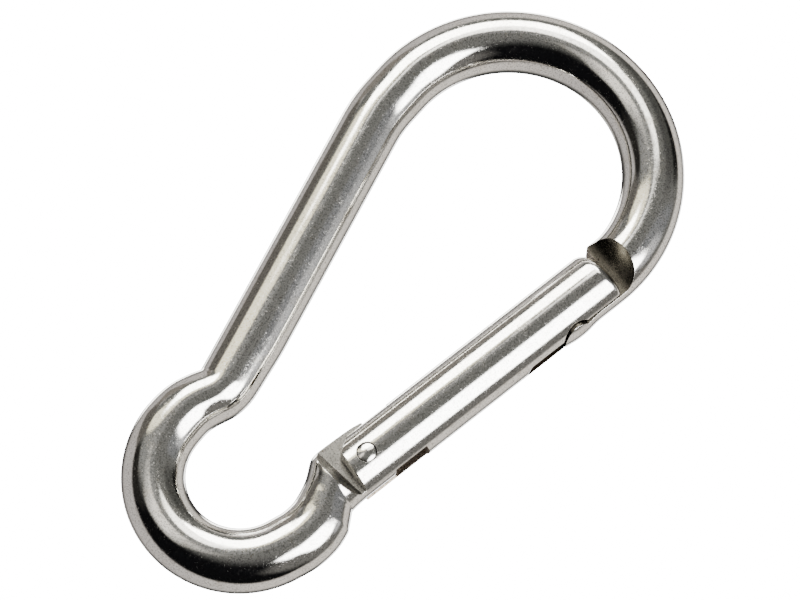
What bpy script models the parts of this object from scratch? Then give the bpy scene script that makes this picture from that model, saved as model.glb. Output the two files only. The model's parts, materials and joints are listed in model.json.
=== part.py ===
"""Carbine hook: a round bar bent into a large and a small bow, closed by a spring-loaded gate.

The hook hangs upright in the XZ plane, large bow up, gate on the +X side.
The origin is the bearing point inside the top of the large bow.
"""
import math

import bmesh
import bpy
from mathutils import Matrix, Vector

MM = 0.001

# The bar and its bows, measured in the hook's plane from the centre of the small bow
BAR_R = 5.35 * MM
SMALL_BOW_R = 14.5 * MM
BOW_SPACING = 70.2 * MM
LEFT_BOW_R = 25.1 * MM
LEFT_BOW_DROP = 3.44 * MM
SPINE_LEAN = math.radians(13.3)

# The bar narrows in the hook's plane on its way into the kink below the spine
KINK_R = 19.43 * MM
SPINE_NARROWING = ((9.0 * MM, 0), (4.5 * MM, 0.26 * MM), (0, 0.5 * MM))

# Inner edge of the kink and both edges of the bow after it: (degrees, mm) about the small bow
KINK_INNER = ((126, 12.0), (132, 10.95), (138, 10.2), (144, 10.0), (150, 9.83))
KINK_EDGES = ((156, 19.51, 9.67), (162, 19.66, 9.6), (168, 19.83, 9.42), (175, 19.85, 9.25))
PLAIN_BOW = (183, 342)

# Edges of the bow before the neck: (degrees, outer mm, inner mm), then the neck's inner edge
NECK_EDGES = ((348, 20.1, 9.2), (354, 20.2, 9.45), (360, 20.36, 9.6), (366, 20.42, 9.8), (372, 20.28, 10.0))
NECK_INNER = ((385, 10.3), (391, 10.6), (397, 10.85), (405, 11.2))

# Edges of the bar's end from the neck's crease to the tang: (along, outer, inner), from the pin in mm
STUB_EDGES = (
    (-7.25, 5.2, -6.1),
    (-6.2, 4.98, -6.12),
    (-4.0, 4.85, -6.1),
    (-1.0, 4.85, -6.0),
    (1.5, 4.85, -5.9),
    (3.0, 4.85, -5.6),
)

# The gate's axis runs through the hinge pin and leans towards the nose
PIN_X = 14.26 * MM
PIN_Z = 15.42 * MM
GATE_LEAN = math.radians(10.86)
NOSE_OFFSET = 0.115 * MM
NOSE_SWELL = 0.45 * MM

# Tang: the flat end of the bar that stands in the gate's fork (z from the pin, along the gate)
TANG_HALF = 2.1 * MM
TANG_TOP = STUB_EDGES[-1][0] * MM
TANG_SHOULDER = -5.05 * MM
TANG_SHOULDER_TILT = math.radians(6.7)
TANG_SHOULDER_RUN = 1.9 * MM

# Nose: the other end of the bar, milled to a tongue that ends in a round lug
TONGUE_HALF = 2.1 * MM
TONGUE_INNER = -1.2 * MM
NOSE_FACE = 51.7 * MM
NOSE_CHORD = 52.2 * MM
NOSE_RUN = 3.75 * MM
NOSE_CORNER_OUT = -4.9 * MM
LUG_R = 2.95 * MM
LUG_Z = 41.35 * MM
LUG_RISE = 0.4 * MM
LUG_CROWN = 42.0 * MM
LUG_CROWN_REACH = 3.3 * MM
MILL_R = 6.5 * MM

# Gate: a drilled round bar, forked at the hinge and slotted at the latch
GATE_R = 5.4 * MM
GATE_FOOT = -4.0 * MM
GATE_FOOT_RISE = 0.6 * MM
GATE_FOOT_SLOPE = math.tan(math.radians(3.3))
GATE_TOP = 51.3 * MM
TOP_ROUND_OUTER = 0.9 * MM
TOP_ROUND_INNER = 2.6 * MM
BORE_R = 3.3 * MM
BORE_END = 27.5 * MM
FORK_HALF = 2.4 * MM
FORK_END = 9.05 * MM
FORK_CORNER_OUT = -2.2 * MM
FORK_CORNER_UP = 0.5 * MM
LATCH_SLOT_FLOOR = -1.5 * MM
KEYHOLE_R = 3.4 * MM
KEYHOLE_Z = 41.3 * MM
RELIEF_HALF = 1.5 * MM
RELIEF_Z = 31.9 * MM
RELIEF_FLOOR = 2.0 * MM

# Hinge pin, plunger and spring
PIN_R = 1.7 * MM
PIN_HALF = 5.15 * MM
PIN_DOME = 0.25 * MM
GAP = 0.3 * MM
PLUNGER_R = BORE_R - GAP
PLUNGER_HEAD = 1.2 * MM
PLUNGER_STEM_R = 1.5 * MM
PLUNGER_STEM = 5.5 * MM
WIRE_R = 0.35 * MM
COIL_R = 2.55 * MM
COIL_PITCH = 0.95 * MM

# Resolution of the faceted solids
BAR_SIDES = 20
GATE_SIDES = 32
HOLE_SIDES = 24
BOW_STEP = math.radians(8)
NOSE_RINGS = 2
CROWN_STEPS = 4
WIRE_SIDES = 5
COIL_STEPS = 10
MILL_STEPS = 8
MILL_OVERRUN = 2
ROUND_STEPS = 5
DRILL_POINT_R = 0.5 * MM
MARGIN = 1 * MM
MERGE = 0.001 * MM
SMOOTH_ANGLE = math.radians(30)


def clear_scene():
    for old in list(bpy.data.objects):
        bpy.data.objects.remove(old)


def across(angle):
    """Direction in the hook's plane at an angle from +X, as (x, z)."""
    return Vector((math.cos(angle), math.sin(angle)))


GATE_DIR = across(math.pi / 2 - GATE_LEAN)
GATE_OUT = across(-GATE_LEAN)
PIN_POINT = Vector((PIN_X, PIN_Z))
BOW_CENTRE = Vector((0, BOW_SPACING))
LARGE_BOW_R = (PIN_POINT - BOW_CENTRE).dot(GATE_OUT) + NOSE_OFFSET
BOW_TOP = BOW_SPACING + LARGE_BOW_R
SEAT_Z = BOW_TOP - BAR_R
HINGE_AT = Vector((PIN_X, 0, PIN_Z - SEAT_Z))


def steel(name, grey, roughness):
    """A bare stainless steel finish."""
    material = bpy.data.materials.new(name)
    material.use_nodes = True
    shader = material.node_tree.nodes["Principled BSDF"]
    shader.inputs["Base Color"].default_value = (grey, grey * 0.98, grey * 0.95, 1)
    shader.inputs["Metallic"].default_value = 1
    shader.inputs["Roughness"].default_value = roughness
    return material


def make_object(name, bm, material=None, at_gate=True):
    """Turn a bmesh into an object, in the gate's frame or in the hook's own."""
    bmesh.ops.recalc_face_normals(bm, faces=bm.faces)
    mesh = bpy.data.meshes.new(name)
    bm.to_mesh(mesh)
    bm.free()
    mesh.shade_smooth()
    mesh.set_sharp_from_angle(angle=SMOOTH_ANGLE)
    obj = bpy.data.objects.new(name, mesh)
    bpy.context.scene.collection.objects.link(obj)
    if at_gate:
        obj.location = HINGE_AT
        obj.rotation_euler.y = GATE_LEAN
    if material:
        mesh.materials.append(material)
    return obj


def skin(rings):
    """A closed solid through rings of equal length, capped at both ends."""
    bm = bmesh.new()
    loops = [[bm.verts.new(point) for point in ring] for ring in rings]
    for low, high in zip(loops, loops[1:]):
        for i in range(len(low)):
            j = (i + 1) % len(low)
            bm.faces.new((low[i], low[j], high[j], high[i]))
    bm.faces.new(loops[0])
    bm.faces.new(loops[-1])
    bmesh.ops.remove_doubles(bm, verts=bm.verts, dist=MERGE)
    return bm


def turned(profile, sides):
    """A solid turned about local Z from (radius, height) pairs."""
    rings = []
    for radius, height in profile:
        angles = [2 * math.pi * i / sides for i in range(sides)]
        rings.append([Vector((radius * math.cos(a), radius * math.sin(a), height)) for a in angles])
    return skin(rings)


def prism(outline, axis, low, high):
    """Extrude a closed outline of (y, z) points along X, or of (x, z) points along Y."""
    rings = []
    for w in (low, high):
        if axis == "x":
            rings.append([Vector((w, u, v)) for u, v in outline])
        else:
            rings.append([Vector((u, w, v)) for u, v in outline])
    return skin(rings)


def circle(radius, centre_u, centre_v, sides):
    """Points of a circle, for an outline."""
    angles = [2 * math.pi * (i + 0.5) / sides for i in range(sides)]
    return [(centre_u + radius * math.cos(a), centre_v + radius * math.sin(a)) for a in angles]


def cutter(name, bm, tilt=0):
    """A guide solid in the gate's frame that only cuts its neighbours."""
    obj = make_object(name, bm)
    obj.rotation_euler.y += tilt
    obj.hide_render = True
    obj.display_type = "WIRE"
    return obj


def cut(obj, tool, operation="DIFFERENCE"):
    """Cut or join one object with another through a Boolean modifier."""
    modifier = obj.modifiers.new(tool.name, "BOOLEAN")
    modifier.object = tool
    modifier.operation = operation
    modifier.solver = "EXACT"


def on_bow(degrees, radius):
    """A point in the hook's plane at an angle and a radius in mm about the small bow."""
    return across(math.radians(degrees)) * radius * MM


def at_tang(along, out):
    """A point in the hook's plane, along the gate's axis and out from it."""
    return PIN_POINT + GATE_DIR * along + GATE_OUT * out


def edge_ring(outer, inner):
    """The bar's section between its outer and inner edge, squeezed in the hook's plane."""
    centre = (outer + inner) / 2
    half = (outer - inner) / 2
    ring = []
    for i in range(BAR_SIDES):
        turn = 2 * math.pi * i / BAR_SIDES
        flat = centre + half * math.cos(turn)
        ring.append(Vector((flat.x, BAR_R * math.sin(turn), flat.y - SEAT_Z)))
    return ring


def arc_rings(centre, radius, start, end):
    """Rings round a bow, going down the left side and on round the bottom."""
    count = max(2, round(abs(end - start) / BOW_STEP))
    spokes = [across(start + (end - start) * i / count) for i in range(count + 1)]
    return [edge_ring(centre + s * (radius + BAR_R), centre + s * (radius - BAR_R)) for s in spokes]


def nose_rings():
    """Rings of the nose, whose inner edge stands in a little from the bow's."""
    low = LUG_Z - LUG_R - MARGIN
    inner = NOSE_OFFSET - BAR_R - NOSE_SWELL
    rings = [edge_ring(at_tang(low, NOSE_OFFSET + BAR_R), at_tang(low, inner))]
    for step in range(-CROWN_STEPS, CROWN_STEPS + 1):
        share = step / CROWN_STEPS
        height = LUG_CROWN + LUG_CROWN_REACH * share
        outer = NOSE_OFFSET + BAR_R + LUG_RISE * (1 - share * share)
        rings.append(edge_ring(at_tang(height, outer), at_tang(height, inner)))
    for step in range(NOSE_RINGS):
        outward = across(step * BOW_STEP - GATE_LEAN)
        outer = BOW_CENTRE + outward * (LARGE_BOW_R + BAR_R)
        rings.append(edge_ring(outer, BOW_CENTRE + outward * (LARGE_BOW_R - BAR_R - NOSE_SWELL)))
    return rings


def kink_rings(spine_top, spine_left, spine_down):
    """Rings from the foot of the spine round the kink, hinged about its crease."""
    edge = spine_top + spine_left * BAR_R
    along = edge.dot(spine_down)
    reach = math.sqrt(along**2 - edge.length_squared + KINK_R**2)
    crease = edge + spine_down * (-along - reach)
    rings = []
    for above, narrowing in SPINE_NARROWING:
        outer = crease - spine_down * above
        rings.append(edge_ring(outer, outer - spine_left * (2 * BAR_R - narrowing)))
    rings += [edge_ring(crease, on_bow(*inner)) for inner in KINK_INNER]
    rings += [edge_ring(on_bow(turn, outer), on_bow(turn, inner)) for turn, outer, inner in KINK_EDGES]
    return rings


def neck_rings():
    """Rings round the sharp bend into the hinge and up the bar's end to the tang's top."""
    rings = [edge_ring(on_bow(turn, outer), on_bow(turn, inner)) for turn, outer, inner in NECK_EDGES]
    stub = [(at_tang(z * MM, outer * MM), at_tang(z * MM, inner * MM)) for z, outer, inner in STUB_EDGES]
    crease = stub[0][0]
    rings += [edge_ring(crease, on_bow(*inner)) for inner in NECK_INNER]
    rings += [edge_ring(outer, inner) for outer, inner in stub]
    return rings


def frame_rings():
    """The whole bar from the nose, over the large bow, down the spine to the hinge."""
    left_centre = BOW_CENTRE + Vector((LEFT_BOW_R - LARGE_BOW_R, -LEFT_BOW_DROP))
    spine_turn = math.pi + SPINE_LEAN
    spine_down = across(spine_turn + math.pi / 2)
    spine_left = across(spine_turn)
    spine_top = left_centre + spine_left * LEFT_BOW_R

    rings = nose_rings()
    rings += arc_rings(BOW_CENTRE, LARGE_BOW_R, NOSE_RINGS * BOW_STEP - GATE_LEAN, math.pi)
    rings += arc_rings(left_centre, LEFT_BOW_R, math.pi, spine_turn)
    rings += kink_rings(spine_top, spine_left, spine_down)
    start, end = (math.radians(turn) for turn in PLAIN_BOW)
    rings += arc_rings(Vector((0, 0)), SMALL_BOW_R, start, end)
    rings += neck_rings()
    return rings


def mill_arc(half, chord, run, towards):
    """The concave run-out of a mill, from the flat at y = half out past the bar's surface."""
    rise = BAR_R - half
    middle = Vector((half + rise / 2, chord + towards * run / 2))
    slope = Vector((rise, towards * run))
    sag = math.sqrt(MILL_R**2 - slope.length_squared / 4)
    normal = Vector((slope.y, -slope.x)).normalized() * towards
    centre = middle + normal * sag
    start = Vector((half, chord)) - centre
    stop = Vector((BAR_R, chord + towards * run)) - centre
    sweep = start.angle_signed(stop)
    points = []
    for i in range(MILL_STEPS + 1 + MILL_OVERRUN):
        spoke = start.copy()
        spoke.rotate(Matrix.Rotation(-sweep * i / MILL_STEPS, 2))
        points.append(tuple(centre + spoke))
    return points


def mirrored(points):
    """The same outline points on the other side of the hook's plane, in reverse order."""
    return [(-y, z) for y, z in reversed(points)]


def make_frame(material):
    """The bent bar with its tang and its tongue."""
    frame = make_object("frame", skin(frame_rings()), material, at_gate=False)
    wide = BAR_R + 2 * MARGIN
    reach = GATE_R + 3 * MARGIN

    lug_low = LUG_Z - LUG_R - 3 * MARGIN
    arc = mill_arc(TONGUE_HALF, NOSE_CHORD, NOSE_RUN, 1)
    shelf = [(-wide, lug_low), (wide, lug_low), (wide, arc[-1][1])]
    down = [*reversed(arc), (TONGUE_HALF, LUG_Z)]
    outline = shelf + down + mirrored(down) + [(-wide, arc[-1][1])]
    tongue_mill = cutter("tongue_mill", prism(outline, "x", -reach, reach))
    lug_outline = circle(LUG_R, 0, LUG_Z, HOLE_SIDES)
    cut(tongue_mill, cutter("lug_core", prism(lug_outline, "x", -reach - MARGIN, reach + MARGIN)))
    cut(frame, tongue_mill)

    drop = reach + NOSE_CORNER_OUT
    nose_outline = [
        (TONGUE_INNER, lug_low),
        (TONGUE_INNER, NOSE_FACE),
        (NOSE_CORNER_OUT, NOSE_FACE),
        (-reach, NOSE_FACE + drop),
        (-reach, lug_low),
    ]
    cut(frame, cutter("nose_mill", prism(nose_outline, "y", -reach, reach)))

    arc = mill_arc(TANG_HALF, TANG_SHOULDER, TANG_SHOULDER_RUN, -1)
    over = TANG_TOP + 3 * MARGIN
    side = [(TANG_HALF, over), *arc, (wide, arc[-1][1]), (wide, over)]
    for name, outline in (("tang_mill_back", side), ("tang_mill_front", mirrored(side))):
        cut(frame, cutter(name, prism(outline, "x", -reach, reach), -TANG_SHOULDER_TILT))
    hole = circle(PIN_R + GAP, 0, 0, HOLE_SIDES)
    cut(frame, cutter("tang_hole", prism(hole, "y", -wide, wide)))
    return frame


def gate_blank():
    """The gate before drilling: a bar whose top edge is rounded most on the inner side."""
    foot = [(FORK_HALF, GATE_FOOT), (GATE_R, GATE_FOOT + GATE_FOOT_RISE)]
    angles = [2 * math.pi * i / GATE_SIDES for i in range(GATE_SIDES)]
    rings = []
    for radius, height in foot:
        ring = []
        for a in angles:
            out = radius * math.cos(a)
            ring.append(Vector((out, radius * math.sin(a), height - out * GATE_FOOT_SLOPE)))
        rings.append(ring)
    for step in range(ROUND_STEPS + 1):
        lift = math.pi / 2 * step / ROUND_STEPS
        ring = []
        for a in angles:
            share = (1 - math.cos(a)) / 2
            bend = TOP_ROUND_OUTER + (TOP_ROUND_INNER - TOP_ROUND_OUTER) * share
            radius = GATE_R - bend * (1 - math.cos(lift))
            height = GATE_TOP - bend * (1 - math.sin(lift))
            ring.append(Vector((radius * math.cos(a), radius * math.sin(a), height)))
        rings.append(ring)
    return skin(rings)


def keyhole_outline():
    """A round hole for the lug, open to the gate's top through the tongue's slot."""
    beyond = GATE_TOP + MARGIN
    flank = math.asin(FORK_HALF / KEYHOLE_R)
    points = [(FORK_HALF, beyond), (-FORK_HALF, beyond)]
    for i in range(HOLE_SIDES + 1):
        turn = flank + (2 * math.pi - 2 * flank) * i / HOLE_SIDES
        points.append((-KEYHOLE_R * math.sin(turn), KEYHOLE_Z + KEYHOLE_R * math.cos(turn)))
    return points


def relief_outline():
    """A slot running down from the keyhole to a round end."""
    steps = HOLE_SIDES // 2
    points = [(RELIEF_HALF, KEYHOLE_Z), (-RELIEF_HALF, KEYHOLE_Z)]
    for i in range(steps + 1):
        turn = math.pi * i / steps
        points.append((-RELIEF_HALF * math.cos(turn), RELIEF_Z - RELIEF_HALF * math.sin(turn)))
    return points


def make_gate(material):
    """The gate: bored for its spring, forked for the tang, slotted for the tongue."""
    gate = make_object("gate", gate_blank(), material)
    reach = GATE_R + 3 * MARGIN
    foot = GATE_FOOT - 2 * MARGIN
    drill = [(BORE_R, foot), (BORE_R, BORE_END), (DRILL_POINT_R, BORE_END + BORE_R / 2)]
    cut(gate, cutter("bore", turned(drill, GATE_SIDES)))

    slot = [(-FORK_HALF, foot), (FORK_HALF, foot), (FORK_HALF, FORK_END), (-FORK_HALF, FORK_END)]
    cut(gate, cutter("fork_slot", prism(slot, "x", -reach, reach)))

    low_corner = Vector((FORK_CORNER_OUT, GATE_FOOT))
    high_corner = Vector((-GATE_R, FORK_CORNER_UP))
    beyond = (high_corner - low_corner) / 2
    corner = [tuple(low_corner - beyond), tuple(high_corner + beyond), (-2 * reach, foot)]
    cut(gate, cutter("fork_corner", prism(corner, "y", -reach, reach)))

    cut(gate, cutter("keyhole", prism(keyhole_outline(), "x", LATCH_SLOT_FLOOR, reach)))
    cut(gate, cutter("relief", prism(relief_outline(), "x", RELIEF_FLOOR, reach)))
    hole = circle(PIN_R + GAP, 0, 0, HOLE_SIDES)
    cut(gate, cutter("fork_holes", prism(hole, "y", -reach, reach)))
    return gate


def make_pin(material):
    """The hinge pin, riveted flush with slightly domed ends."""
    end = PIN_HALF + PIN_DOME
    profile = [
        (PIN_R / 2, -end),
        (PIN_R, -PIN_HALF),
        (PIN_R, PIN_HALF),
        (PIN_R / 2, end),
    ]
    bm = turned(profile, HOLE_SIDES)
    bmesh.ops.rotate(bm, verts=bm.verts, matrix=Matrix.Rotation(math.pi / 2, 3, "X"))
    return make_object("hinge_pin", bm, material)


def make_plunger(material):
    """The follower between the tang's end and the spring, with a stem inside the coils."""
    foot = TANG_TOP + GAP
    head = foot + PLUNGER_HEAD
    profile = [
        (PLUNGER_R - GAP, foot),
        (PLUNGER_R, foot + GAP),
        (PLUNGER_R, head),
        (PLUNGER_STEM_R, head),
        (PLUNGER_STEM_R, head + PLUNGER_STEM),
    ]
    return make_object("spring_plunger", turned(profile, HOLE_SIDES), material)


def make_spring(material):
    """The compression spring in the gate's bore."""
    clear = GAP + WIRE_R
    low = TANG_TOP + GAP + PLUNGER_HEAD + clear
    high = BORE_END - clear
    turns = (high - low) / COIL_PITCH
    count = round(turns * COIL_STEPS)
    lead = math.atan2(COIL_PITCH, 2 * math.pi * COIL_R)
    rings = []
    for i in range(count + 1):
        turn = 2 * math.pi * turns * i / count
        outward = Vector((math.cos(turn), math.sin(turn), 0))
        round_way = Vector((-math.sin(turn), math.cos(turn), 0))
        upward = Vector((0, 0, math.cos(lead))) - round_way * math.sin(lead)
        centre = outward * COIL_R + Vector((0, 0, low + (high - low) * i / count))
        ring = []
        for k in range(WIRE_SIDES):
            a = 2 * math.pi * k / WIRE_SIDES
            ring.append(centre + (outward * math.cos(a) + upward * math.sin(a)) * WIRE_R)
        rings.append(ring)
    return make_object("gate_spring", skin(rings), material)


clear_scene()
make_frame(steel("polished_bar", 0.78, 0.12))
make_gate(steel("polished_gate", 0.78, 0.12))
make_pin(steel("polished_pin", 0.72, 0.18))
make_plunger(steel("turned_plunger", 0.5, 0.35))
make_spring(steel("spring_wire", 0.35, 0.35))
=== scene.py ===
"""Looks of the carbine hook: its polished bar, gate, pin, plunger and spring, with studio light.

Every piece is built in the row frame: the hook hangs upright in the XZ plane, large bow up, gate on the
+X side, and the origin is the bearing point inside the top of the large bow. Pieces on the gate are built
in the gate's own frame, whose Z runs from the hinge pin to the latch and whose X points out of the hook.
"""
import json
import math

import bmesh
import bpy
import numpy as np
from mathutils import Matrix, Vector


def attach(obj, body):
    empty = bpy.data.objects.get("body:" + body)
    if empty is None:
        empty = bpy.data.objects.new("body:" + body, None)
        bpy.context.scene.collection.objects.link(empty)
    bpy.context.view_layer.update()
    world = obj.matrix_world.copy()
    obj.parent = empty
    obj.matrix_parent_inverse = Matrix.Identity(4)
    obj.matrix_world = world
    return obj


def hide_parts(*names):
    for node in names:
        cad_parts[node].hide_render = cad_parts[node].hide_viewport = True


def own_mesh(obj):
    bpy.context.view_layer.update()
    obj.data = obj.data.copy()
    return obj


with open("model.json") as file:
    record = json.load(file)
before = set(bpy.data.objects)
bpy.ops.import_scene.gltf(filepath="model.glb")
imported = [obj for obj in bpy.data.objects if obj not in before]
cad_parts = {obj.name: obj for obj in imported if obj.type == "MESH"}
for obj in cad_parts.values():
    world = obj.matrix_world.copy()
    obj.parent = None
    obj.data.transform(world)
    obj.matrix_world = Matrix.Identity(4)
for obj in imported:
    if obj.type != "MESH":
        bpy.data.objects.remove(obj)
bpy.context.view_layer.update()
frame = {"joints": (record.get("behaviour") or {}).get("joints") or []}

MM = 0.001
HINGE = next(joint for joint in frame["joints"] if joint["name"] == "gate_hinge")
SLIDE = next(joint for joint in frame["joints"] if joint["name"] == "plunger_slide")

# The bar and its bows
BAR_R = 5.35 * MM
LARGE_BOW_R = 24.44 * MM
SMALL_BOW_R = 14.5 * MM
BOW_SPACING = 70.2 * MM
LEFT_BOW_R = 25.1 * MM
LEFT_BOW_DROP = 3.44 * MM
SPINE_LEAN = math.radians(13.3)

# The kink below the spine: (degrees, mm) about the small bow's centre, and narrowing above it.
# These edges, the neck's and the stub's come from a scan of the photo's silhouette by a script.
KINK_R = 19.43 * MM
SPINE_NARROWING = ((9.0 * MM, 0), (4.5 * MM, 0.26 * MM), (0, 0.5 * MM))
KINK_INNER = ((126, 12.0), (132, 10.95), (138, 10.2), (144, 10.0), (150, 9.83))
KINK_EDGES = ((156, 19.51, 9.67), (162, 19.66, 9.6), (168, 19.83, 9.42), (175, 19.85, 9.25))
PLAIN_BOW = (183, 342)

# The neck below the hinge: both edges up to its crease, its inner edge, then the bar's end
NECK_EDGES = ((348, 20.1, 9.2), (354, 20.2, 9.45), (360, 20.36, 9.6), (366, 20.42, 9.8), (372, 20.28, 10.0))
NECK_INNER = ((385, 10.3), (391, 10.6), (397, 10.85), (405, 11.2))
STUB_EDGES = (
    (-7.25, 5.2, -6.1),
    (-6.2, 4.98, -6.12),
    (-4.0, 4.85, -6.1),
    (-1.0, 4.85, -6.0),
    (1.5, 4.85, -5.9),
    (3.0, 4.85, -5.6),
)

# Tang and nose, in the gate's frame
TANG_HALF = 2.1 * MM
TANG_TOP = STUB_EDGES[-1][0] * MM
TANG_SHOULDER = -5.05 * MM
TANG_SHOULDER_TILT = math.radians(6.7)
TANG_SHOULDER_RUN = 1.9 * MM
TANG_CORNER = 1.6 * MM
NOSE_OFFSET = 0.115 * MM
NOSE_SWELL = 0.45 * MM
TONGUE_HALF = 2.1 * MM
TONGUE_INNER = -1.2 * MM
NOSE_FACE = 51.7 * MM
NOSE_CHORD = 52.2 * MM
NOSE_RUN = 3.75 * MM
NOSE_CORNER_OUT = -4.9 * MM
LUG_R = 2.95 * MM
LUG_Z = 41.35 * MM
LUG_RISE = 0.4 * MM
LUG_CROWN = 42.0 * MM
LUG_CROWN_REACH = 3.3 * MM
MILL_R = 6.5 * MM

# Gate
GATE_R = 5.4 * MM
GATE_FOOT = -4.0 * MM
GATE_FOOT_RISE = 0.6 * MM
GATE_FOOT_SLOPE = math.tan(math.radians(3.3))
GATE_TOP = 51.3 * MM
TOP_ROUND_OUTER = 0.9 * MM
TOP_ROUND_INNER = 2.6 * MM
BORE_R = 3.3 * MM
BORE_END = 27.5 * MM
FORK_HALF = 2.4 * MM
FORK_END = 9.05 * MM
FORK_LEAD = 0.7 * MM
FORK_LEAD_OUT = 3.5 * MM
FORK_CORNER_OUT = -2.2 * MM
FORK_CORNER_UP = 0.5 * MM
LATCH_SLOT_FLOOR = -1.5 * MM
KEYHOLE_R = 3.4 * MM
KEYHOLE_Z = 41.3 * MM
RELIEF_HALF = 1.5 * MM
RELIEF_Z = 31.9 * MM
RELIEF_FLOOR = 2.0 * MM

# Pin, plunger and spring
PIN_R = 1.55 * MM
PIN_HALF = 5.15 * MM
PIN_DOME = 0.25 * MM
PIN_CROWN = 0.2 * MM
PIN_FIT = 0.15 * MM
GAP = 0.3 * MM
PLUNGER_R = BORE_R - GAP
PLUNGER_HEAD = 1.2 * MM
PLUNGER_STEM_R = 1.5 * MM
PLUNGER_STEM = 5.5 * MM
WIRE_R = 0.35 * MM
COIL_R = 2.55 * MM
COIL_PITCH = 0.95 * MM

# Resolution
BAR_SIDES = 80
GATE_SIDES = 96
HOLE_SIDES = 64
ARC_STEP = math.radians(1.5)
FILL_STEP = 0.25 * MM
FAIR_ROUNDS = 40
CROWN_STEPS = 12
SWELL_STEPS = 16
SWELL_STEP = ARC_STEP * 2 / 3
ROUND_STEPS = 16
GATE_RINGS = 12
CAP_STEPS = 12
MILL_STEPS = 24
WIRE_SIDES = 12
COIL_STEPS = 40
MARGIN = 1 * MM
MERGE = 0.0005 * MM
SHARP_ANGLE = math.radians(28)


def across(angle):
    """Direction in the hook's plane at an angle from +X, as (x, z)."""
    return np.array((math.cos(angle), math.sin(angle)))


PIN_POINT = np.array((HINGE["pos_m"][0], HINGE["pos_m"][2]))
GATE_LEAN = math.atan2(SLIDE["axis"][0], SLIDE["axis"][2])
GATE_DIR = across(math.pi / 2 - GATE_LEAN)
GATE_OUT = across(-GATE_LEAN)
BOW_CENTRE = np.array((0, BAR_R - LARGE_BOW_R))
SMALL_CENTRE = BOW_CENTRE - np.array((0, BOW_SPACING))


# ---------------------------------------------------------------- mesh helpers


def add_object(name, bm, materials, at_gate=False):
    """Turn a bmesh into an object, in the row frame or in the gate's."""
    bmesh.ops.recalc_face_normals(bm, faces=bm.faces)
    mesh = bpy.data.meshes.new(name)
    bm.to_mesh(mesh)
    bm.free()
    for material in materials:
        mesh.materials.append(material)
    obj = bpy.data.objects.new(name, mesh)
    bpy.context.scene.collection.objects.link(obj)
    if at_gate:
        obj.location = HINGE["pos_m"]
        obj.rotation_euler.y = GATE_LEAN
    return obj


def skin(rings):
    """A closed solid through rings of equal length, capped at both ends."""
    bm = bmesh.new()
    loops = [[bm.verts.new(point) for point in ring] for ring in rings]
    for low, high in zip(loops, loops[1:]):
        for i in range(len(low)):
            j = (i + 1) % len(low)
            bm.faces.new((low[i], low[j], high[j], high[i]))
    bm.faces.new(loops[0])
    bm.faces.new(loops[-1])
    bmesh.ops.remove_doubles(bm, verts=bm.verts, dist=MERGE)
    return bm


def turned(profile, sides):
    """A solid turned about local Z from (radius, height) pairs."""
    angles = [2 * math.pi * i / sides for i in range(sides)]
    rings = []
    for radius, height in profile:
        rings.append([Vector((radius * math.cos(a), radius * math.sin(a), height)) for a in angles])
    return skin(rings)


def prism(outline, axis, low, high):
    """Extrude a closed outline of (y, z) points along X, or of (x, z) points along Y."""
    rings = []
    for w in (low, high):
        if axis == "x":
            rings.append([Vector((w, u, v)) for u, v in outline])
        else:
            rings.append([Vector((u, w, v)) for u, v in outline])
    return skin(rings)


def circle(radius, centre_u, centre_v, sides):
    """Points of a circle, for an outline."""
    angles = [2 * math.pi * (i + 0.5) / sides for i in range(sides)]
    return [(centre_u + radius * math.cos(a), centre_v + radius * math.sin(a)) for a in angles]


def cut(obj, name, bm, material, tilt=0):
    """Cut a solid in the gate's frame out of an object; the cut faces take the material given."""
    tool = add_object(name, bm, [material], at_gate=True)
    tool.rotation_euler.y += tilt
    modifier = obj.modifiers.new(name, "BOOLEAN")
    modifier.object = tool
    modifier.operation = "DIFFERENCE"
    modifier.solver = "EXACT"
    modifier.material_mode = "TRANSFER"
    return tool


def settle(obj, tools=()):
    """Apply an object's cuts, remove the cutting solids and mark its sharp edges."""
    if tools:
        bpy.context.view_layer.update()
        seen = obj.evaluated_get(bpy.context.evaluated_depsgraph_get())
        mesh = bpy.data.meshes.new_from_object(seen)
        obj.modifiers.clear()
        obj.data = mesh
        for tool in tools:
            bpy.data.objects.remove(tool)
    bm = bmesh.new()
    bm.from_mesh(obj.data)
    bmesh.ops.dissolve_degenerate(bm, edges=bm.edges, dist=MERGE)
    bm.to_mesh(obj.data)
    bm.free()
    obj.data.shade_smooth()
    obj.data.set_sharp_from_angle(angle=SHARP_ANGLE)
    return obj


# ---------------------------------------------------------------- bar


def on_bow(degrees, radius):
    """A point in the hook's plane at an angle and a radius in mm about the small bow."""
    return SMALL_CENTRE + across(math.radians(degrees)) * radius * MM


def at_tang(along, out):
    """A point in the hook's plane, along the gate's axis from the pin and out from it."""
    return PIN_POINT + GATE_DIR * along + GATE_OUT * out


def bow_edges(centre, radius, start, end, swell=0):
    """Outer and inner edge points round a bow."""
    count = max(2, round(abs(end - start) / ARC_STEP))
    spokes = [across(start + (end - start) * i / count) for i in range(count + 1)]
    return [(centre + s * (radius + BAR_R), centre + s * (radius - BAR_R - swell)) for s in spokes]


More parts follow.
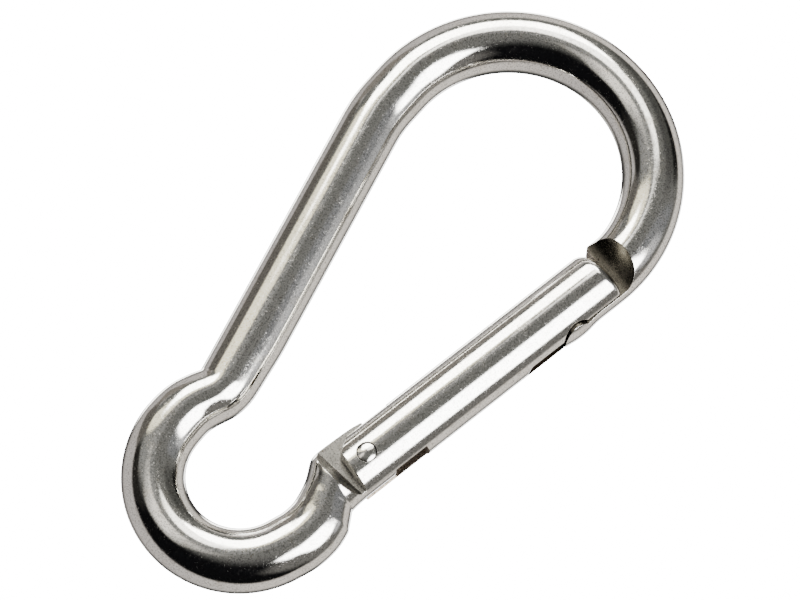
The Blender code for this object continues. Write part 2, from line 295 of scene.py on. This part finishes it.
def nose_edges():
    """Edges of the nose, whose inner edge stands in a little from the bow's and runs out into it."""
    low = LUG_Z - LUG_R - MARGIN
    inner = NOSE_OFFSET - BAR_R - NOSE_SWELL
    edges = [(at_tang(low, NOSE_OFFSET + BAR_R), at_tang(low, inner))]
    for step in range(-CROWN_STEPS, CROWN_STEPS + 1):
        share = step / CROWN_STEPS
        height = LUG_CROWN + LUG_CROWN_REACH * share
        outer = NOSE_OFFSET + BAR_R + LUG_RISE * (1 - share * share)
        edges.append((at_tang(height, outer), at_tang(height, inner)))
    for i in range(SWELL_STEPS + 1):
        share = 1 - i / SWELL_STEPS
        spoke = across(i * SWELL_STEP - GATE_LEAN)
        swell = NOSE_SWELL * share * share * (3 - 2 * share)
        outer = BOW_CENTRE + spoke * (LARGE_BOW_R + BAR_R)
        edges.append((outer, BOW_CENTRE + spoke * (LARGE_BOW_R - BAR_R - swell)))
    return edges, SWELL_STEPS * SWELL_STEP - GATE_LEAN


def kink_edges(spine_top, spine_left, spine_down):
    """Edges from the foot of the spine round the kink, hinged about its crease."""
    edge = spine_top + spine_left * BAR_R - SMALL_CENTRE
    along = edge @ spine_down
    reach = math.sqrt(along**2 - edge @ edge + KINK_R**2)
    crease = SMALL_CENTRE + edge + spine_down * (-along - reach)
    above = []
    for height, narrowing in SPINE_NARROWING:
        outer = crease - spine_down * height
        above.append((outer, outer - spine_left * (2 * BAR_R - narrowing)))
    hinged = [(crease, on_bow(*inner)) for inner in KINK_INNER]
    below = [(on_bow(turn, outer), on_bow(turn, inner)) for turn, outer, inner in KINK_EDGES]
    return above, hinged, below


def neck_edges():
    """Edges round the sharp bend into the hinge and up the bar's end to the tang's top."""
    below = [(on_bow(turn, outer), on_bow(turn, inner)) for turn, outer, inner in NECK_EDGES]
    above = [(at_tang(z * MM, outer * MM), at_tang(z * MM, inner * MM)) for z, outer, inner in STUB_EDGES]
    hinged = [(above[0][0], on_bow(*inner)) for inner in NECK_INNER]
    return below, hinged, above


def filled(edges):
    """The same edges with points added where the step is long, paired outer to inner."""
    dense = [edges[0]]
    for (outer_a, inner_a), (outer_b, inner_b) in zip(edges, edges[1:]):
        step = max(np.linalg.norm(outer_b - outer_a), np.linalg.norm(inner_b - inner_a))
        count = max(1, math.ceil(step / FILL_STEP))
        for i in range(1, count + 1):
            share = i / count
            dense.append((outer_a + (outer_b - outer_a) * share, inner_a + (inner_b - inner_a) * share))
    return dense


def faired(points):
    """A fair curve through points: each is drawn to its neighbours' middle, the ends stay."""
    points = np.array(points)
    for _ in range(FAIR_ROUNDS):
        points[1:-1] += (points[:-2] + points[2:] - 2 * points[1:-1]) / 4
    return points


def bar_edges():
    """Outer and inner edges of the whole bar, from the nose round to the tang."""
    left_centre = BOW_CENTRE + np.array((LEFT_BOW_R - LARGE_BOW_R, -LEFT_BOW_DROP))
    spine_turn = math.pi + SPINE_LEAN
    spine_left = across(spine_turn)
    spine_down = across(spine_turn + math.pi / 2)
    nose, nose_end = nose_edges()
    upper = bow_edges(BOW_CENTRE, LARGE_BOW_R, nose_end, math.pi)
    upper += bow_edges(left_centre, LEFT_BOW_R, math.pi, spine_turn)
    spine_top = left_centre + spine_left * LEFT_BOW_R
    above, kink, below = kink_edges(spine_top, spine_left, spine_down)
    start, end = (math.radians(turn) for turn in PLAIN_BOW)
    lower = below + bow_edges(SMALL_CENTRE, SMALL_BOW_R, start, end)
    neck_below, neck, stub = neck_edges()
    lower += neck_below

    first = filled(nose + upper + above)
    second = filled([first[-1], *kink, lower[0]])[1:-1]
    third = filled(lower)
    fourth = filled([third[-1], *neck, stub[0]])[1:-1]
    fifth = filled(stub)
    inner = faired([edge[1] for edge in first + second + third + fourth + fifth])
    outer = [faired([edge[0] for edge in first])]
    outer.append([edge[0] for edge in second])
    outer.append(faired([edge[0] for edge in third]))
    outer.append([edge[0] for edge in fourth])
    outer.append(faired([edge[0] for edge in fifth]))
    return np.vstack(outer), inner


def bar_rings():
    """The bar's sections, squeezed in the hook's plane where it is bent."""
    turns = [2 * math.pi * i / BAR_SIDES for i in range(BAR_SIDES)]
    rings = []
    for outer, inner in zip(*bar_edges()):
        centre = (outer + inner) / 2
        half = (outer - inner) / 2
        ring = []
        for turn in turns:
            x, z = centre + half * math.cos(turn)
            ring.append(Vector((x, BAR_R * math.sin(turn), z)))
        rings.append(ring)
    return rings


def mill_arc(half, chord, run, towards):
    """The concave run-out of a mill, from the flat at y = half out past the bar's surface."""
    rise = BAR_R - half
    slope = Vector((rise, towards * run))
    normal = Vector((slope.y, -slope.x)).normalized() * towards
    sag = math.sqrt(MILL_R**2 - slope.length_squared / 4)
    centre = Vector((half, chord)) + slope / 2 + normal * sag
    start = Vector((half, chord)) - centre
    sweep = start.angle_signed(start + slope)
    overrun = MILL_STEPS // 4
    points = []
    for i in range(MILL_STEPS + 1 + overrun):
        spoke = start.copy()
        spoke.rotate(Matrix.Rotation(-sweep * i / MILL_STEPS, 2))
        points.append(tuple(centre + spoke))
    return points


def mirrored(points):
    """The same outline points on the other side of the hook's plane, in reverse order."""
    return [(-y, z) for y, z in reversed(points)]


def lug_profile():
    """The tongue beside its lug: down the flat to the lug, then round it."""
    flank = math.asin(TONGUE_HALF / LUG_R)
    steps = HOLE_SIDES // 4
    points = []
    for i in range(steps + 1):
        turn = flank + (math.pi - flank) * i / steps
        points.append((LUG_R * math.sin(turn), LUG_Z + LUG_R * math.cos(turn)))
    return points


def make_frame(polished, milled, nose, grained):
    """The bent bar with its tang and its tongue."""
    obj = add_object("bent_bar", skin(bar_rings()), [polished])
    wide = BAR_R + 2 * MARGIN
    reach = GATE_R + 3 * MARGIN

    low = LUG_Z - LUG_R - 3 * MARGIN
    down = list(reversed(mill_arc(TONGUE_HALF, NOSE_CHORD, NOSE_RUN, 1))) + lug_profile()
    half = [(0, low), (wide, low), (wide, down[0][1]), *down]
    # The tongue's D faces take the nose steel, whose near-black colour is painted shade standing in for
    # their dark reflection.
    tools = [
        cut(obj, "tongue_mill_back", prism(half, "x", -reach, reach), nose),
        cut(obj, "tongue_mill_front", prism(mirrored(half), "x", -reach, reach), nose),
    ]

    drop = reach + NOSE_CORNER_OUT
    outline = [
        (TONGUE_INNER, low),
        (TONGUE_INNER, NOSE_FACE),
        (NOSE_CORNER_OUT, NOSE_FACE),
        (-reach, NOSE_FACE + drop),
        (-reach, low),
    ]
    tools.append(cut(obj, "nose_mill", prism(outline, "y", -reach, reach), milled))

    arc = mill_arc(TANG_HALF, TANG_SHOULDER, TANG_SHOULDER_RUN, -1)
    over = TANG_TOP + 3 * MARGIN
    side = [(TANG_HALF, over), *arc, (wide, arc[-1][1]), (wide, over)]
    for name, outline in (("tang_mill_back", side), ("tang_mill_front", mirrored(side))):
        tools.append(cut(obj, name, prism(outline, "x", -reach, reach), grained, -TANG_SHOULDER_TILT))
    hole = circle(PIN_R + PIN_FIT, 0, 0, HOLE_SIDES)
    tools.append(cut(obj, "tang_hole", prism(hole, "y", -wide, wide), milled))
    corner = [(BAR_R, TANG_TOP - TANG_CORNER), (BAR_R, over), (BAR_R - 2 * TANG_CORNER, over)]
    tools.append(cut(obj, "tang_corner", prism(corner, "y", -wide, wide), milled))
    return settle(obj, tools)


# ---------------------------------------------------------------- gate and its parts


def gate_blank():
    """The gate before drilling: a bar whose top edge is rounded most on the inner side."""
    angles = [2 * math.pi * i / GATE_SIDES for i in range(GATE_SIDES)]
    rings = []
    for radius, height in ((FORK_HALF, GATE_FOOT), (GATE_R, GATE_FOOT + GATE_FOOT_RISE)):
        ring = []
        for a in angles:
            out = radius * math.cos(a)
            ring.append(Vector((out, radius * math.sin(a), height - out * GATE_FOOT_SLOPE)))
        rings.append(ring)
    for i in range(1, GATE_RINGS):
        height = GATE_FOOT + (GATE_TOP - GATE_FOOT) * i / GATE_RINGS
        rings.append([Vector((GATE_R * math.cos(a), GATE_R * math.sin(a), height)) for a in angles])
    for step in range(ROUND_STEPS + 1):
        lift = math.pi / 2 * step / ROUND_STEPS
        ring = []
        for a in angles:
            share = (1 - math.cos(a)) / 2
            bend = TOP_ROUND_OUTER + (TOP_ROUND_INNER - TOP_ROUND_OUTER) * share
            radius = GATE_R - bend * (1 - math.cos(lift))
            height = GATE_TOP - bend * (1 - math.sin(lift))
            ring.append(Vector((radius * math.cos(a), radius * math.sin(a), height)))
        rings.append(ring)
    return skin(rings)


def keyhole_outline():
    """A round hole for the lug, open to the gate's top through the tongue's slot."""
    beyond = GATE_TOP + MARGIN
    flank = math.asin(FORK_HALF / KEYHOLE_R)
    points = [(FORK_HALF, beyond), (-FORK_HALF, beyond)]
    for i in range(HOLE_SIDES + 1):
        turn = flank + (2 * math.pi - 2 * flank) * i / HOLE_SIDES
        points.append((-KEYHOLE_R * math.sin(turn), KEYHOLE_Z + KEYHOLE_R * math.cos(turn)))
    return points


def relief_outline():
    """A slot running down from the keyhole to a round end."""
    steps = HOLE_SIDES // 2
    points = [(RELIEF_HALF, KEYHOLE_Z), (-RELIEF_HALF, KEYHOLE_Z)]
    for i in range(steps + 1):
        turn = math.pi * i / steps
        points.append((-RELIEF_HALF * math.cos(turn), RELIEF_Z - RELIEF_HALF * math.sin(turn)))
    return points


def make_gate(polished, milled, grime_and_shade):
    """The gate: bored for its spring, forked for the tang, slotted for the tongue."""
    obj = add_object("drilled_gate", gate_blank(), [polished], at_gate=True)
    reach = GATE_R + 3 * MARGIN
    foot = GATE_FOOT - 2 * MARGIN
    drill = [(BORE_R, foot), (BORE_R, BORE_END), (MARGIN / 2, BORE_END + BORE_R / 2)]
    # The bore, keyhole, relief and pin holes take the near-black steel: dirt together with painted shade in
    # the recesses.
    tools = [cut(obj, "bore", turned(drill, HOLE_SIDES), grime_and_shade)]
    top = FORK_END - FORK_LEAD
    slot = [(-FORK_HALF, foot), (FORK_HALF, foot), (FORK_HALF, top), (-FORK_HALF, top)]
    tools.append(cut(obj, "fork_slot", prism(slot, "x", -reach, reach), milled))
    lead = [(FORK_LEAD_OUT, 0), (reach, 0), (reach, FORK_END + reach - GATE_R), (GATE_R, FORK_END)]
    lead.append((FORK_LEAD_OUT, FORK_END - FORK_LEAD))
    tools.append(cut(obj, "fork_lead", prism(lead, "y", -FORK_HALF, FORK_HALF), milled))

    low_corner = Vector((FORK_CORNER_OUT, GATE_FOOT))
    high_corner = Vector((-GATE_R, FORK_CORNER_UP))
    beyond = (high_corner - low_corner) / 2
    corner = [tuple(low_corner - beyond), tuple(high_corner + beyond), (-2 * reach, foot)]
    tools.append(cut(obj, "fork_corner", prism(corner, "y", -reach, reach), polished))

    tools.append(cut(obj, "keyhole", prism(keyhole_outline(), "x", LATCH_SLOT_FLOOR, reach), grime_and_shade))
    tools.append(cut(obj, "relief", prism(relief_outline(), "x", RELIEF_FLOOR, reach), grime_and_shade))
    hole = circle(PIN_R + PIN_FIT, 0, 0, HOLE_SIDES)
    tools.append(cut(obj, "fork_holes", prism(hole, "y", -reach, reach), grime_and_shade))
    return settle(obj, tools)


def make_pin(material):
    """The hinge pin, its ends ground round with the gate and slightly crowned."""
    radii = [max(PIN_R * i / CAP_STEPS, MARGIN / 50) for i in range(CAP_STEPS + 1)]
    caps = [(radius, PIN_HALF + PIN_DOME) for radius in radii]
    waist = [(PIN_R, -PIN_HALF / 2), (PIN_R, PIN_HALF / 2)]
    profile = [(radius, -height) for radius, height in caps] + waist + caps[::-1]
    bm = turned(profile, HOLE_SIDES)
    bmesh.ops.rotate(bm, verts=bm.verts, matrix=Matrix.Rotation(math.pi / 2, 3, "X"))
    for vert in bm.verts:
        if abs(vert.co.y) > PIN_HALF:
            off_axis = vert.co.x**2 + vert.co.z**2
            height = math.sqrt(GATE_R**2 - vert.co.x**2) - PIN_CROWN * off_axis / PIN_R**2
            vert.co.y = math.copysign(height, vert.co.y)
    return settle(add_object("riveted_pin", bm, [material], at_gate=True))


def make_plunger(material):
    """The follower between the tang's end and the spring, with a stem inside the coils."""
    foot = TANG_TOP + GAP
    head = foot + PLUNGER_HEAD
    profile = [
        (PLUNGER_R - GAP, foot),
        (PLUNGER_R, foot + GAP),
        (PLUNGER_R, head - GAP / 2),
        (PLUNGER_R - GAP / 2, head),
        (PLUNGER_STEM_R, head),
        (PLUNGER_STEM_R, head + PLUNGER_STEM - GAP),
        (PLUNGER_STEM_R - GAP, head + PLUNGER_STEM),
    ]
    return settle(add_object("turned_plunger", turned(profile, HOLE_SIDES), [material], at_gate=True))


def make_spring(material):
    """The compression spring in the gate's bore."""
    clear = GAP + WIRE_R
    low = TANG_TOP + GAP + PLUNGER_HEAD + clear
    high = BORE_END - clear
    turns = (high - low) / COIL_PITCH
    count = round(turns * COIL_STEPS)
    lead = math.atan2(COIL_PITCH, 2 * math.pi * COIL_R)
    rings = []
    for i in range(count + 1):
        turn = 2 * math.pi * turns * i / count
        outward = Vector((math.cos(turn), math.sin(turn), 0))
        round_way = Vector((-math.sin(turn), math.cos(turn), 0))
        upward = Vector((0, 0, math.cos(lead))) - round_way * math.sin(lead)
        centre = outward * COIL_R + Vector((0, 0, low + (high - low) * i / count))
        ring = []
        for k in range(WIRE_SIDES):
            a = 2 * math.pi * k / WIRE_SIDES
            ring.append(centre + (outward * math.cos(a) + upward * math.sin(a)) * WIRE_R)
        rings.append(ring)
    return settle(add_object("coil_spring", skin(rings), [material], at_gate=True))


# ---------------------------------------------------------------- shader nodes


class Nodes:
    """Adds nodes to a tree; an input may be a value or another node's output."""

    def __init__(self, tree):
        self.tree = tree

    def add(self, kind, inputs=None, output=0, **settings):
        node = self.tree.nodes.new("ShaderNode" + kind)
        for name, value in settings.items():
            setattr(node, name, value)
        for key, value in (inputs or {}).items():
            if isinstance(value, bpy.types.NodeSocket):
                self.tree.links.new(value, node.inputs[key])
            else:
                node.inputs[key].default_value = value
        return node.outputs[output]

    def math(self, operation, a, b=0.0, clamp=False):
        return self.add("Math", {0: a, 1: b}, operation=operation, use_clamp=clamp)

    def vector(self, operation, a, b=(0, 0, 0), output=0):
        return self.add("VectorMath", {0: a, 1: b}, output, operation=operation)

    def ramp(self, value, low, high, to_low=0.0, to_high=1.0):
        """A smooth step from one value to another."""
        inputs = {"Value": value, "From Min": low, "From Max": high, "To Min": to_low, "To Max": to_high}
        return self.add("MapRange", inputs, interpolation_type="SMOOTHSTEP")

    def mix(self, factor, a, b):
        return self.add("Mix", {0: factor, 6: a, 7: b}, 2, data_type="RGBA")


# ---------------------------------------------------------------- materials

# Each finish: metal colour, stained colour, roughness clean to worn, strength of the grain, depths
# of the pits and of the waves. The nose's and the recesses' metal colours also carry painted shade.
POLISHED = ((0.86, 0.845, 0.805), (0.66, 0.61, 0.53), 0.06, 0.125, 0.9, 0.0015 * MM, 0.02 * MM)
MILLED = ((0.33, 0.28, 0.225), (0.1, 0.065, 0.04), 0.25, 0.45, 1.2, 0.01 * MM, 0.0)
# The nose's milled D faces: a brownish steel tint, painted near black as painted shade for the dark room
# these concave faces mirror.
NOSE_SHADED = ((0.12, 0.11, 0.09), (0.05, 0.04, 0.03), 0.22, 0.35, 0.8, 0.004 * MM, 0.0)
GRAINED = ((0.34, 0.33, 0.305), (0.16, 0.135, 0.105), 0.3, 0.5, 1.2, 0.01 * MM, 0.02 * MM)
# Dirt and painted shade: the bore, keyhole, relief slot and pin holes are painted near black, both for
# their dirt and for the shade inside these recesses.
GRIME_AND_SHADE = ((0.06, 0.04, 0.025), (0.025, 0.016, 0.01), 0.4, 0.6, 1.0, 0.01 * MM, 0.0)
TURNED = ((0.5, 0.48, 0.44), (0.25, 0.18, 0.12), 0.25, 0.45, 1.0, 0.004 * MM, 0.0)
WIRE = ((0.42, 0.36, 0.29), (0.12, 0.07, 0.04), 0.25, 0.5, 1.0, 0.004 * MM, 0.0)
GRAIN_SIZE = 0.26 * MM
SPARK_SIZE = 0.34 * MM
GRAIN_SHADE = 0.55
SPARK_ROUGH = 0.22
WAVE_SIZE = 5 * MM
STAIN_SIZE = 2.2 * MM
SPECK_SIZE = 0.5 * MM
EDGE_ROUND = 0.15 * MM


def noise(nodes, coords, size, detail, roughness=0.5):
    """Even noise whose features are about the size given."""
    inputs = {"Vector": coords, "Scale": 1 / size, "Detail": detail, "Roughness": roughness}
    return nodes.add("TexNoise", inputs)


def steel_finish(name, finish):
    """Bare steel with grain, pits, gentle waves, stains and specks."""
    clean, stained, smooth, worn, strength, pit_depth, wave_depth = finish
    material = bpy.data.materials.new(name)
    material.use_nodes = True
    nodes = Nodes(material.node_tree)
    coords = nodes.add("TexCoord", output="Object")
    grain = noise(nodes, coords, GRAIN_SIZE, 1)
    sparks = noise(nodes, coords, SPARK_SIZE, 2, 0.7)
    stains = noise(nodes, coords, STAIN_SIZE, 5, 0.6)
    specks = noise(nodes, coords, SPECK_SIZE, 2)
    waves = noise(nodes, coords, WAVE_SIZE, 1)

    stain = nodes.ramp(stains, 0.5, 0.75)
    speck = nodes.ramp(specks, 0.66, 0.74)
    dirt = nodes.math("MAXIMUM", nodes.math("MULTIPLY", stain, 0.5), speck)
    colour = nodes.mix(dirt, (*clean, 1), (*stained, 1))
    shade = nodes.ramp(grain, 0.4, 0.8, 1.0, 1 - GRAIN_SHADE * strength)
    colour = nodes.vector("MULTIPLY", colour, nodes.add("CombineXYZ", {0: shade, 1: shade, 2: shade}))
    wear = nodes.ramp(stains, 0.35, 0.7, smooth, worn)
    roughness = nodes.math("ADD", wear, nodes.ramp(sparks, 0.53, 0.78, 0, SPARK_ROUGH * strength))
    rounded = nodes.add("Bevel", {"Radius": EDGE_ROUND}, samples=4)
    wavy = nodes.add("Bump", {"Height": waves, "Distance": wave_depth, "Normal": rounded})
    normal = nodes.add("Bump", {"Height": grain, "Distance": pit_depth, "Normal": wavy})

    shader = material.node_tree.nodes["Principled BSDF"]
    shader.inputs["Metallic"].default_value = 1
    for socket, value in (("Base Color", colour), ("Roughness", roughness), ("Normal", normal)):
        material.node_tree.links.new(value, shader.inputs[socket])
    return material


# ---------------------------------------------------------------- light, floor and camera

CAMERA_AT = Vector((0.1083, -0.4865, -0.1772))
CAMERA_LOOK = Vector((-0.2098, 0.9454, 0.2495))
CAMERA_UP = Vector((-0.6085, -0.326, 0.7235))
CAMERA_LENS = 137.3
FLOOR_Z = -0.24
FLOOR_SIZE = 4
BACKDROP = 17
HAZE = (1.2, 1.19, 1.17)
HORIZON = 0.11

# The studio round the hook, seen from it, in degrees right and up from the camera's side, with
# radiances. Its layout was fitted to the photo's reflections.
TABLE_AT = (12, 8)
TABLE_REACH = 93
TABLE_EDGE = 5
TABLE_LEFT = (0.72, 0.68, 0.66)
TABLE_RIGHT = (1.15, 1.08, 1.0)
ROOM_DARK = (0.006, 0.006, 0.007)
ROOM_GREY = (0.2, 0.2, 0.19)
ROOM_WAY = (0.5, 0.86, 0)
ROOM_FROM = -18
ROOM_TO = 15
# Each patch in the room and on the table's edge: (centre, half size, turn, edge softness, radiance)
PATCHES = (
    ((55, -40), (36, 27), -25, 0.6, (0.2, 0.195, 0.185)),
    ((64, 8), (27, 10), -12, 0.6, (0.25, 0.255, 0.265)),
    ((-22, 38), (27, 10), 0, 0.6, (0.34, 0.34, 0.33)),
    ((74, 63), (32, 35), 0, 0.5, (0.09, 0.09, 0.085)),
    ((88, 60), (15, 35), 8, 0.5, (0.012, 0.012, 0.012)),
    ((-66, 26), (13, 20), 0, 0.5, (0.025, 0.024, 0.022)),
    ((-24, 20), (16, 11), 38, 0.7, (0.95, 0.92, 0.86)),
    ((-20, 23), (14, 5), 40, 0.6, (1.7, 1.62, 1.5)),
    ((-28, 52), (22, 7), -10, 0.35, (2.2, 2.05, 1.55)),
    ((-4, 67), (27, 15), 8, 0.2, (14, 13.8, 13)),
    ((10, 50), (12, 9), 0, 0.4, (5, 4.9, 4.6)),
    ((68, -12), (16, 12), -25, 0.8, (0.75, 0.75, 0.77)),
    ((41, -14), (22, 16), -28, 0.35, (15, 15, 15)),
)
EDGE_PATCHES = (
    ((-70, 62), (15, 17), 20, 0.4, (0.16, 0.15, 0.135)),
    ((-54, 84), (18, 9), 0, 0.4, (0.3, 0.275, 0.245)),
)


# The back of the room, in degrees right and up from straight behind the hook
BACK_ROOM = (0.07, 0.07, 0.068)
BACK_REACH = (34, 58)
BACK_PATCHES = (
    ((-8, 24), (24, 7), 14, 0.4, (8, 7.9, 7.6)),
    ((22, -8), (6, 17), -24, 0.5, (5, 5, 5)),
    ((-20, -10), (12, 8), 30, 0.8, (0.7, 0.68, 0.64)),
)


def camera_axes():
    """The camera's right, up and backward directions."""
    back = -CAMERA_LOOK.normalized()
    right = CAMERA_UP.cross(back).normalized()
    return right, back.cross(right), back


def make_camera():
    """A long lens from a little below the hook, rolled so that the hook lies across the picture."""
    data = bpy.data.cameras.new("camera")
    data.lens = CAMERA_LENS
    data.clip_start = 0.01
    obj = bpy.data.objects.new("camera", data)
    bpy.context.scene.collection.objects.link(obj)
    obj.matrix_world = Matrix.Translation(CAMERA_AT) @ Matrix(camera_axes()).transposed().to_4x4()
    bpy.context.scene.camera = obj


def make_floor():
    """A plain pale floor well below the hanging hook, kept out of the polished steel's reflections."""
    bm = bmesh.new()
    bmesh.ops.create_grid(bm, size=FLOOR_SIZE / 2, matrix=Matrix.Translation((0, 0, FLOOR_Z)))
    material = bpy.data.materials.new("floor")
    material.use_nodes = True
    floor = add_object("floor", bm, [material])
    floor.visible_glossy = False


def studio_angles(nodes, side=1):
    """Degrees right and up from the camera's side of the hook, or from behind it, in the sky."""
    ray = nodes.add("TexCoord")
    right, up, back = (nodes.vector("DOT_PRODUCT", ray, axis, 1) for axis in camera_axes())
    angle = nodes.math("DEGREES", nodes.math("ARCCOSINE", nodes.math("MULTIPLY", back, side)))
    flat = nodes.add("CombineXYZ", {"X": right, "Y": up})
    direction = nodes.vector("NORMALIZE", flat)
    return nodes.add("VectorMath", {0: direction, "Scale": angle}, operation="SCALE")


def add_patch(nodes, colour, angles, centre, half_size, turn, edge, radiance):
    """Lay a turned, rounded rectangle of light over the sky, with a soft edge."""
    place = {
        "Vector": angles,
        "Location": (*centre, 0),
        "Rotation": (0, 0, math.radians(turn)),
        "Scale": (*half_size, 1),
    }
    inside = nodes.add("Mapping", place, vector_type="TEXTURE")
    squared = nodes.vector("MULTIPLY", inside, inside)
    mask = nodes.ramp(nodes.vector("LENGTH", squared, output=1), 1 + edge, 1 - edge)
    return nodes.mix(mask, colour, (*radiance, 1))


def make_world():
    """A dark room with patches of light, ringed by a pale table, a plainer back, and a backdrop."""
    world = bpy.data.worlds.new("studio")
    world.use_nodes = True
    nodes = Nodes(world.node_tree)
    angles = studio_angles(nodes)
    slope = nodes.vector("DOT_PRODUCT", angles, ROOM_WAY, 1)
    colour = nodes.mix(nodes.ramp(slope, ROOM_FROM, ROOM_TO), (*ROOM_DARK, 1), (*ROOM_GREY, 1))
    for patch in PATCHES:
        colour = add_patch(nodes, colour, angles, *patch)
    away = nodes.vector("DISTANCE", angles, (*TABLE_AT, 0), 1)
    table = nodes.ramp(away, TABLE_REACH - TABLE_EDGE, TABLE_REACH + TABLE_EDGE)
    side = nodes.ramp(nodes.vector("DOT_PRODUCT", angles, (1, 0, 0), 1), -TABLE_REACH, TABLE_REACH)
    colour = nodes.mix(table, colour, nodes.mix(side, (*TABLE_LEFT, 1), (*TABLE_RIGHT, 1)))
    for patch in EDGE_PATCHES:
        colour = add_patch(nodes, colour, angles, *patch)

    behind = studio_angles(nodes, -1)
    away = nodes.vector("LENGTH", behind, output=1)
    colour = nodes.mix(nodes.ramp(away, *BACK_REACH), (*BACK_ROOM, 1), colour)
    for patch in BACK_PATCHES:
        colour = add_patch(nodes, colour, behind, *patch)

    rise = nodes.vector("DOT_PRODUCT", nodes.add("TexCoord"), (0, 0, 1), 1)
    backdrop = nodes.mix(nodes.ramp(rise, 0, HORIZON), (*HAZE, 1), (BACKDROP, BACKDROP, BACKDROP, 1))
    colour = nodes.mix(nodes.add("LightPath", output="Is Camera Ray"), colour, backdrop)
    background = world.node_tree.nodes["Background"]
    world.node_tree.links.new(colour, background.inputs["Color"])
    bpy.context.scene.world = world


# ---------------------------------------------------------------- assembly

polished = steel_finish("polished_steel", POLISHED)
milled = steel_finish("milled_steel", MILLED)
nose = steel_finish("nose_shaded_steel", NOSE_SHADED)
grime_and_shade = steel_finish("grimy_shaded_steel", GRIME_AND_SHADE)
grained = steel_finish("grained_steel", GRAINED)

bar = make_frame(polished, milled, nose, grained)
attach(bar, "hook")
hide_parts("frame")

gate = make_gate(polished, milled, grime_and_shade)
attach(gate, "gate")
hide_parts("gate")

pin = make_pin(polished)
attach(pin, "gate")
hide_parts("hinge_pin")

plunger = make_plunger(steel_finish("turned_steel", TURNED))
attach(plunger, "plunger")
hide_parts("spring_plunger")

spring = make_spring(steel_finish("spring_wire", WIRE))
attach(spring, "gate")
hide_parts("gate_spring")
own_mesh(spring)

make_floor()
make_world()
make_camera()
